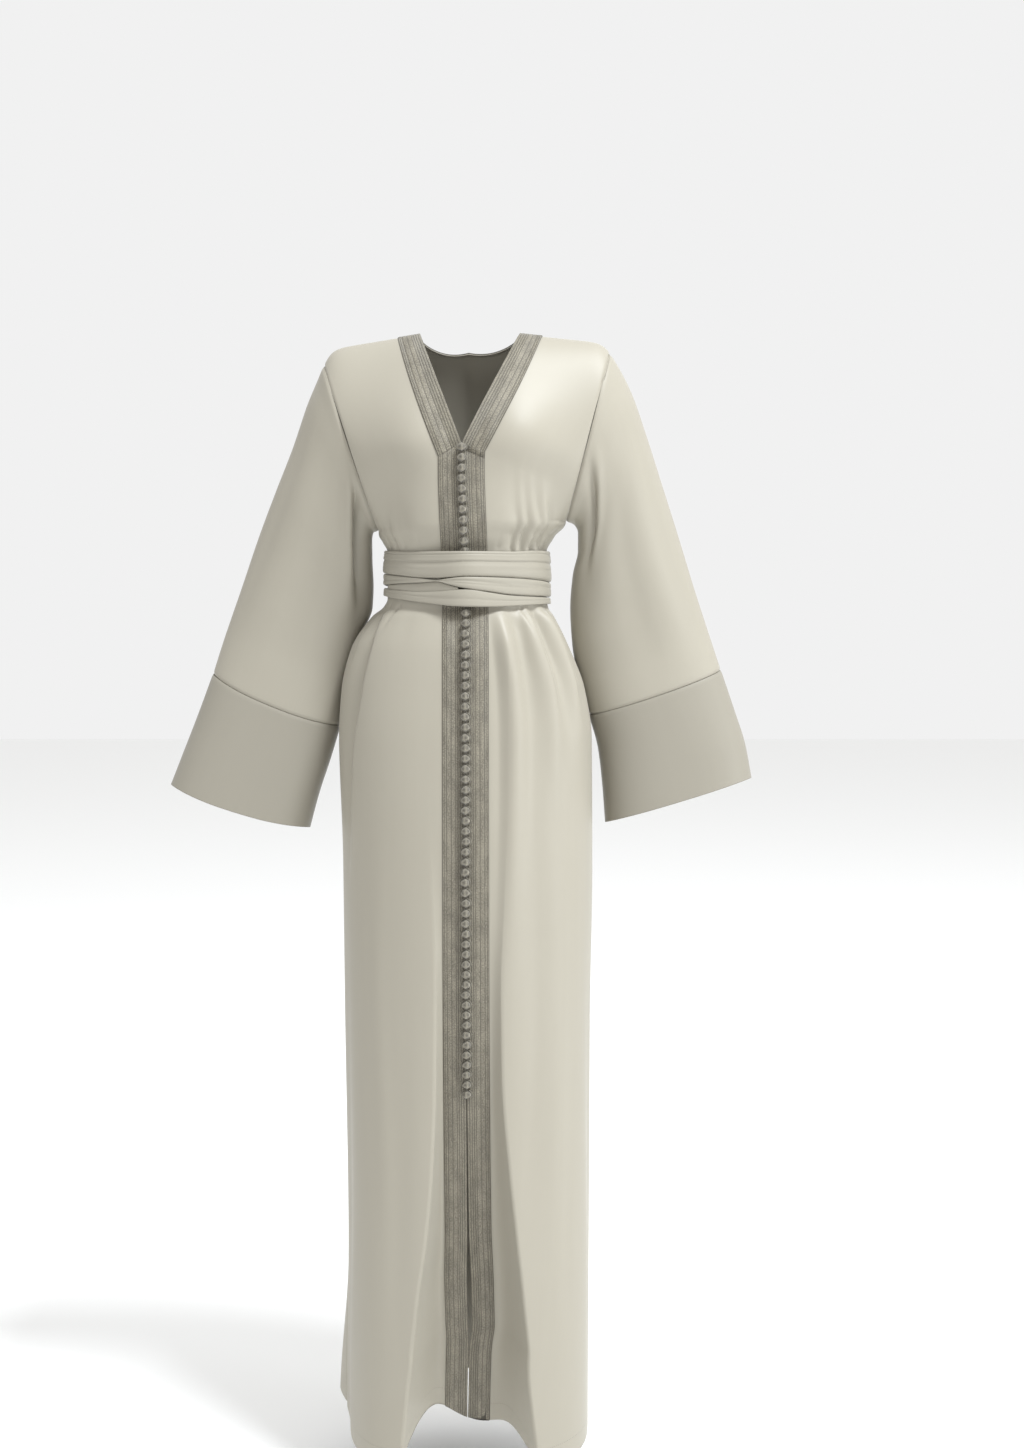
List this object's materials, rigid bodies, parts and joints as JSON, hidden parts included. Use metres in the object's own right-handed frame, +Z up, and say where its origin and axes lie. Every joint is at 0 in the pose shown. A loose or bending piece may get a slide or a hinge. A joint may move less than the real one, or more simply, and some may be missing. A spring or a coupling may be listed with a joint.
{
  "type": "kaftan",
  "caption": "Long V-necked kaftan in its worn form, with wide cuffed sleeves, braided and ball-buttoned front edges and a wound sash at the waist.",
  "frame": {"origin": "middle of the shoulder line, level with the two neck points, where the wearer's shoulders carry the garment", "axes": "+Z up, -Y out of the garment's front, +X towards the wearer's left"},
  "size_m": [0.8091, 0.2858, 1.5193],
  "materials": {
    "cloth": "smooth satin-backed crepe, soft sheen",
    "cuff_cloth": "the same crepe, faced and pressed flat",
    "braid": "matt corded and woven braid",
    "button": "hand-knotted cord balls",
    "sash_cloth": "the same crepe, folded"
  },
  "bodies": {
    "root": {"front_right": "cloth", "front_left": "cloth", "back": "cloth", "sleeve_right": "cloth", "sleeve_left": "cloth", "cuff_right": "cuff_cloth", "cuff_left": "cuff_cloth", "front_braid_right": "braid", "front_braid_left": "braid", "neck_braid_right": "braid", "neck_braid_left": "braid", "neck_braid_back": "braid", "buttons_upper": "button", "buttons_under_sash": "button", "buttons_lower": "button", "sash_upper": "sash_cloth", "sash_middle": "sash_cloth", "sash_inner_fold": "sash_cloth", "sash_lower": "sash_cloth"}
  },
  "joints": []
}
